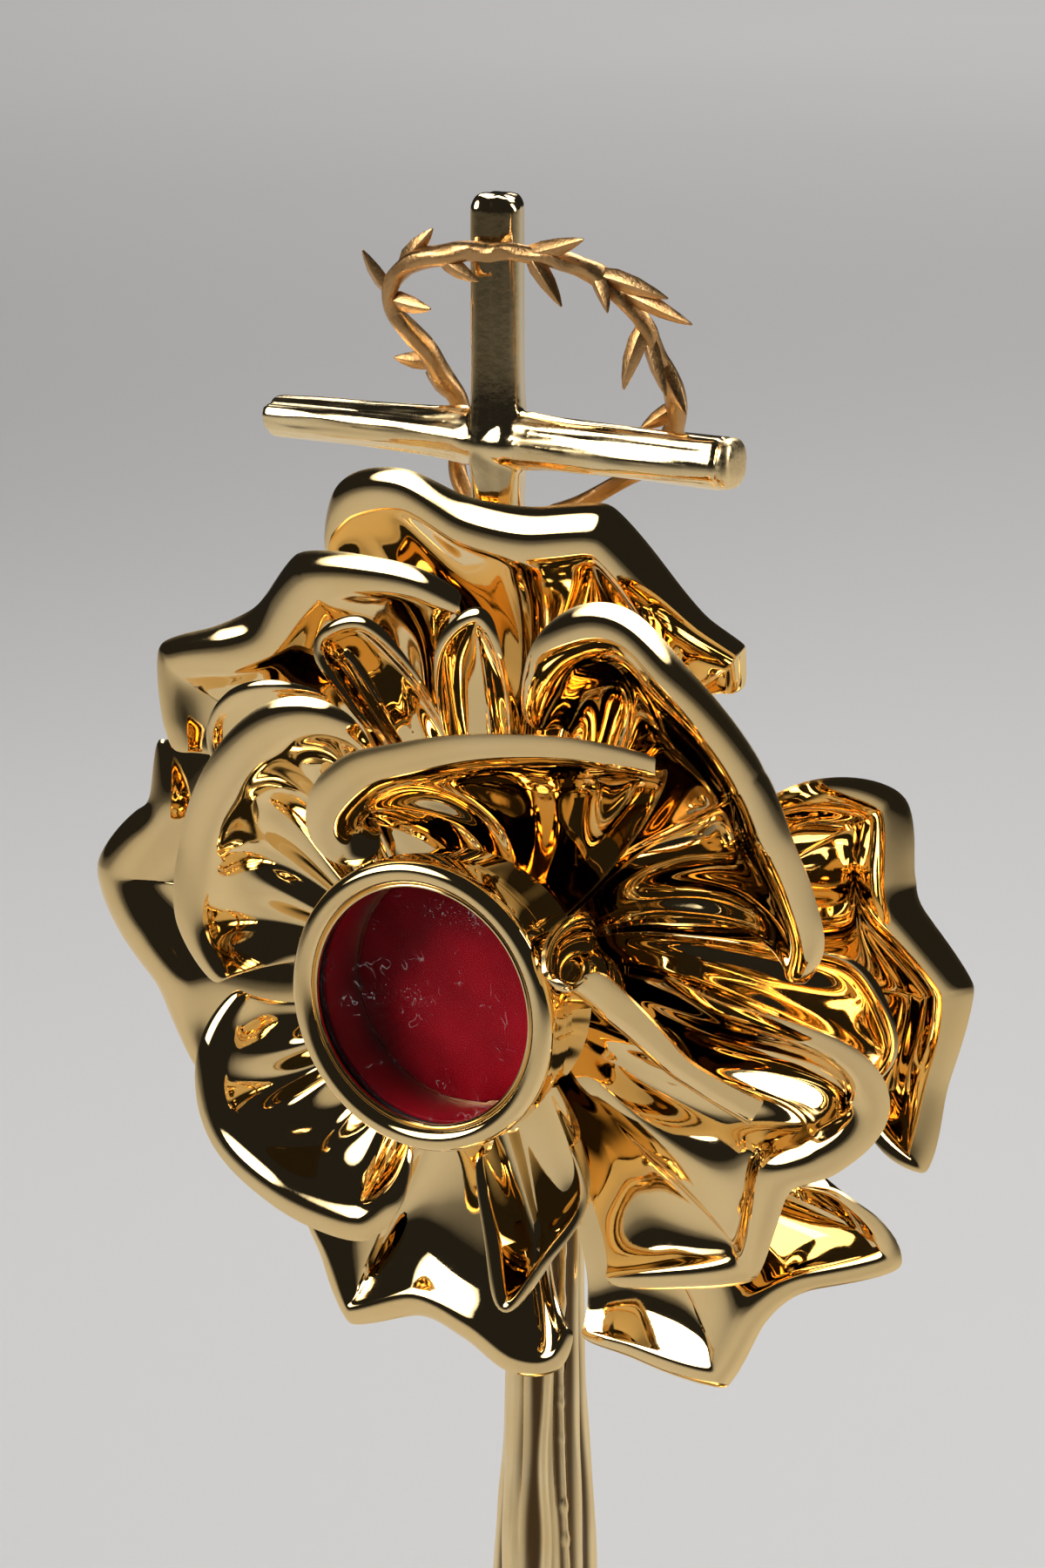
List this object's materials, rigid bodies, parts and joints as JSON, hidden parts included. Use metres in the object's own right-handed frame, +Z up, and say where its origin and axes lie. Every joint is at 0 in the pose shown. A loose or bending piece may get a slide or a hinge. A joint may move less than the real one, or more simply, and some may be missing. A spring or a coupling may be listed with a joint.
{
  "type": "rose reliquary",
  "caption": "Standing reliquary: a gilt sheet-metal rose on a bark stem holds a glazed screw-front relic capsule lined in red silk, under a log cross with a crown of thorns.",
  "frame": {"origin": "centre of the foot's underside, on the table", "axes": "+Z up, the capsule's window faces -Y, +X to the viewer's right"},
  "size_m": [0.145, 0.11, 0.299],
  "materials": {
    "polished_gold": "mirror polished gilt sheet",
    "bark_gold": "polished gilt casting with bark ridges",
    "satin_gold": "satin gilt casting",
    "red_silk": "deep red silk over wadding",
    "clear_glass": "clear flat glass",
    "rubber": "matt",
    "steel": "plain",
    "iron": "as cast",
    "felt": "dark felt"
  },
  "bodies": {
    "reliquary": {"foot_felt": "felt", "foot_shell": "polished_gold", "foot_weight": "iron", "foot_washer": "steel", "foot_nut": "steel", "tie_rod": "steel", "stem": "bark_gold", "hub_bracket": "polished_gold", "hub_screw_upper": "steel", "hub_screw_lower": "steel", "hub": "polished_gold", "petal_outer_top": "polished_gold", "petal_outer_upper_left": "polished_gold", "petal_outer_left": "polished_gold", "petal_outer_lower_left": "polished_gold", "petal_outer_lower_right": "polished_gold", "petal_outer_right": "polished_gold", "petal_middle_upper_right": "polished_gold", "petal_middle_top": "polished_gold", "petal_middle_upper_left": "polished_gold", "petal_middle_far_left": "polished_gold", "petal_middle_left": "polished_gold", "petal_middle_lower_left": "polished_gold", "petal_middle_lower_right": "polished_gold", "petal_middle_right": "polished_gold", "petal_inner_top": "polished_gold", "petal_inner_right": "polished_gold", "petal_inner_bottom": "polished_gold", "capsule_cup": "polished_gold", "backing_disc": "polished_gold", "silk_pad": "red_silk", "liner_ring": "polished_gold", "cross_post": "polished_gold", "cross_upright": "bark_gold", "cross_arm": "bark_gold", "crown_of_thorns": "satin_gold"},
    "glass_pack": {"glass": "clear_glass", "gasket": "rubber"},
    "bezel_ring": {"bezel": "polished_gold"}
  },
  "joints": [
    {"name": "glass_lift", "type": "slide", "parent": "reliquary", "child": "glass_pack", "axis": [0, -1, 0], "range_m": [0, 0.0045]},
    {"name": "bezel_turn", "type": "hinge", "parent": "glass_pack", "child": "bezel_ring", "pos_m": [0, -0.032, 0.19], "axis": [0, -1, 0], "range_deg": [0, 1080]}
  ],
  "couplings": [
    {"joint": "glass_lift", "follows": "bezel_turn", "m_per_rad": 0.00023873}
  ]
}
